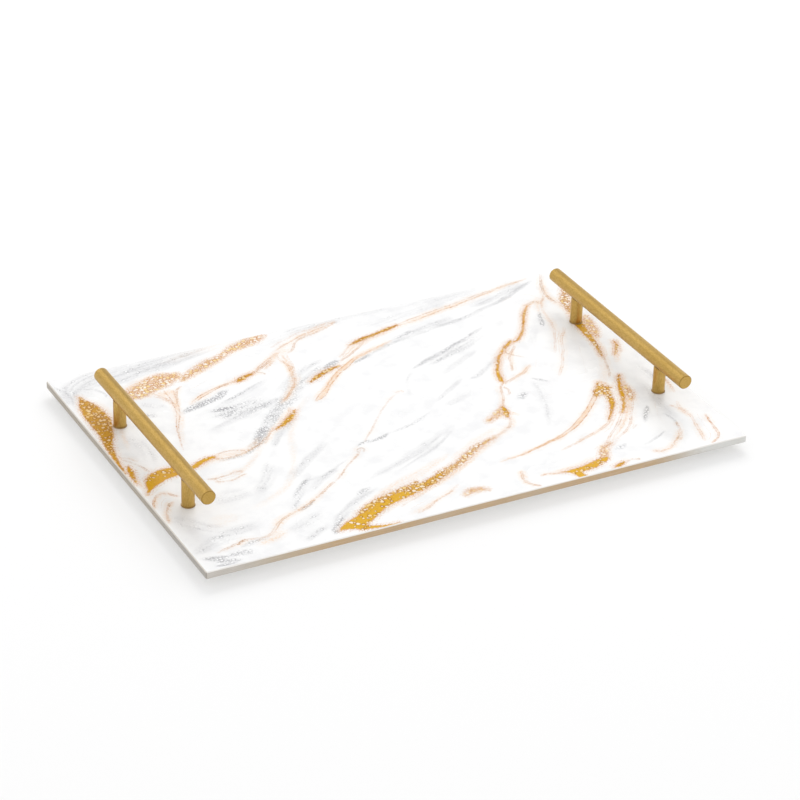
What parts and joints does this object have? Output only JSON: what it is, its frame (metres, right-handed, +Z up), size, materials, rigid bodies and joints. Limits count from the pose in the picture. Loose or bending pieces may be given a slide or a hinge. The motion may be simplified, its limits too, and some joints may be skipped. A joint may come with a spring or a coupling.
{
  "type": "vanity tray",
  "caption": "Rectangular glass vanity tray with a white, grey and gold marble print and a round gold bar handle on two posts at each short side.",
  "frame": {"origin": "on the table under the middle of the plate, at the height of the feet's bottoms", "axes": "+X along the long side, +Y towards the rear long side, +Z up"},
  "size_m": [0.457, 0.305, 0.0446],
  "materials": {
    "printed_glass": "gloss, marble print seen through it, ground edges",
    "print_backing": "matt off-white sealing coat",
    "brushed_gold": "fine brushed satin gold",
    "gasket": "thin translucent amber sheet",
    "nylon": "natural nylon",
    "zinc_steel": "bright zinc plate",
    "dark_steel": "black oxide",
    "foot_rubber": "matt moulded rubber"
  },
  "bodies": {
    "root": {"glass_plate": "printed_glass", "marble_print": "print_backing", "handle_bar_left": "brushed_gold", "handle_bar_right": "brushed_gold", "post_left_rear": "brushed_gold", "post_left_front": "brushed_gold", "post_right_rear": "brushed_gold", "post_right_front": "brushed_gold", "bar_stud_left_rear": "dark_steel", "bar_stud_left_front": "dark_steel", "bar_stud_right_rear": "dark_steel", "bar_stud_right_front": "dark_steel", "gasket_left_rear": "gasket", "gasket_left_front": "gasket", "gasket_right_rear": "gasket", "gasket_right_front": "gasket", "washer_left_rear": "nylon", "washer_left_front": "nylon", "washer_right_rear": "nylon", "washer_right_front": "nylon", "screw_left_rear": "zinc_steel", "screw_left_front": "zinc_steel", "screw_right_rear": "zinc_steel", "screw_right_front": "zinc_steel", "foot_left_rear": "foot_rubber", "foot_left_front": "foot_rubber", "foot_right_rear": "foot_rubber", "foot_right_front": "foot_rubber"}
  },
  "joints": []
}
